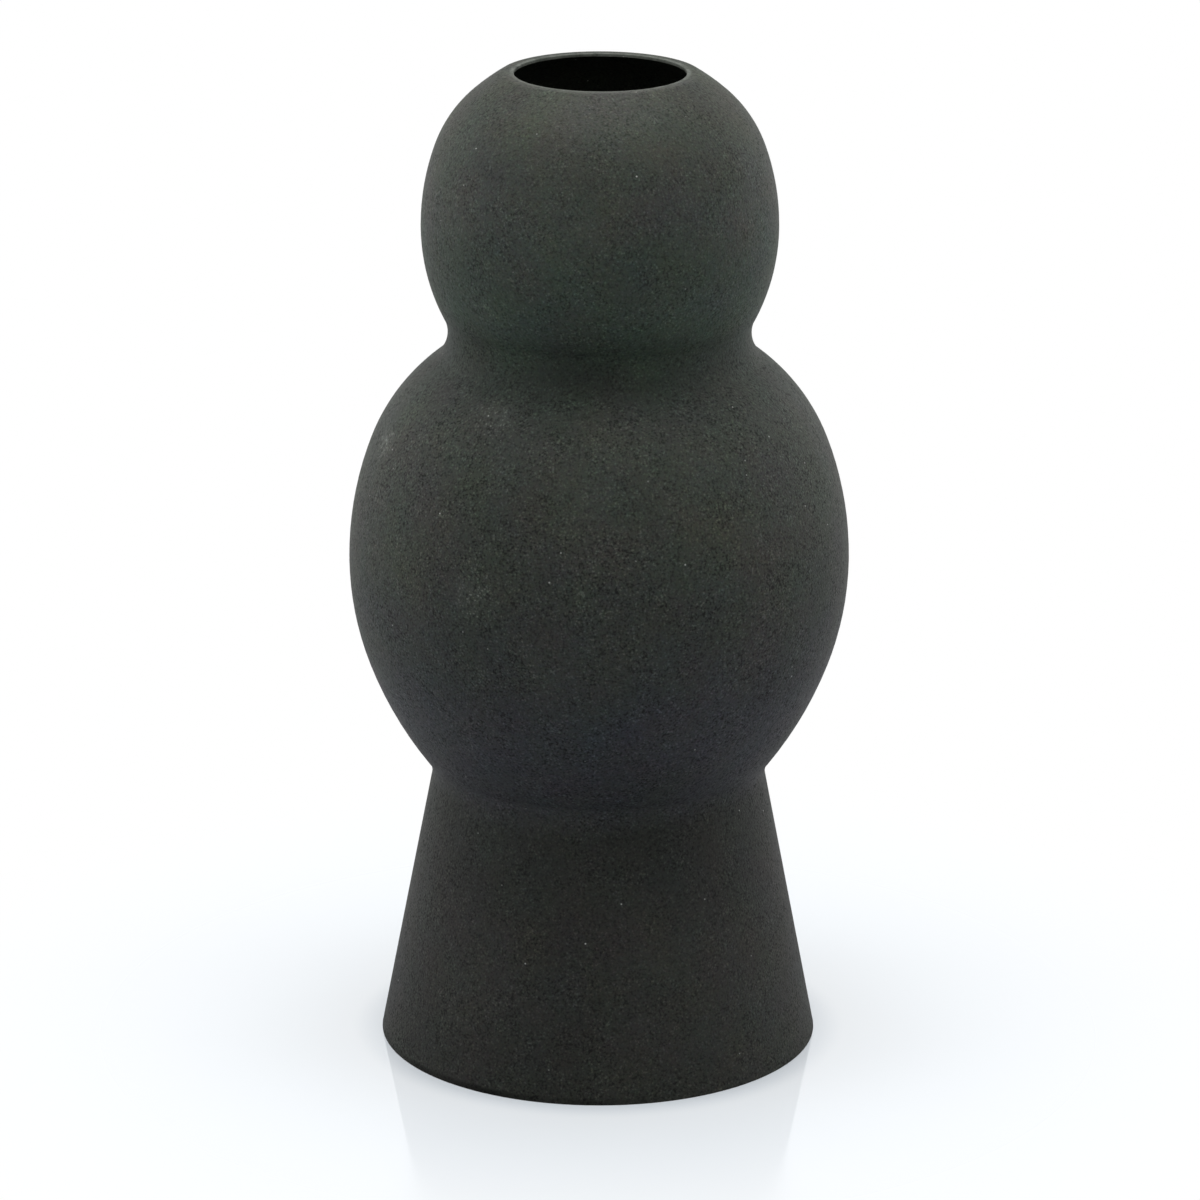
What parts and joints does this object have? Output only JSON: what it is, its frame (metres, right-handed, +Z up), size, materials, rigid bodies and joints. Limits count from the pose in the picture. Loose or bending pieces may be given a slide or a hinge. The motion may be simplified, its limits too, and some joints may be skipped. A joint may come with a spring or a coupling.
{
  "type": "vase",
  "caption": "Iron vase with a rounded head, a small flat-rimmed mouth, a narrow neck, a larger rounded belly and a tall cone foot, for cut or dried stems.",
  "frame": {"origin": "on the floor under the centre of the foot", "axes": "+Z up along the vase's axis, +Y towards the back, where the rolled foot's seam runs"},
  "size_m": [0.2108, 0.2108, 0.4202],
  "materials": {
    "coat": "fine sand-textured black powder coat, matt",
    "weld_coat": "the same coat over dressed welds",
    "under_coat": "thinner black coat on the underside"
  },
  "bodies": {
    "root": {"head_upper_shell": "coat", "head_lower_shell": "coat", "head_seam_weld": "weld_coat", "neck_weld": "weld_coat", "belly_upper_shell": "coat", "belly_lower_shell": "coat", "belly_seam_weld": "weld_coat", "waist_weld": "weld_coat", "foot_cone": "coat", "foot_seam_weld": "weld_coat", "base_plate": "under_coat", "base_weld": "weld_coat"}
  },
  "joints": []
}
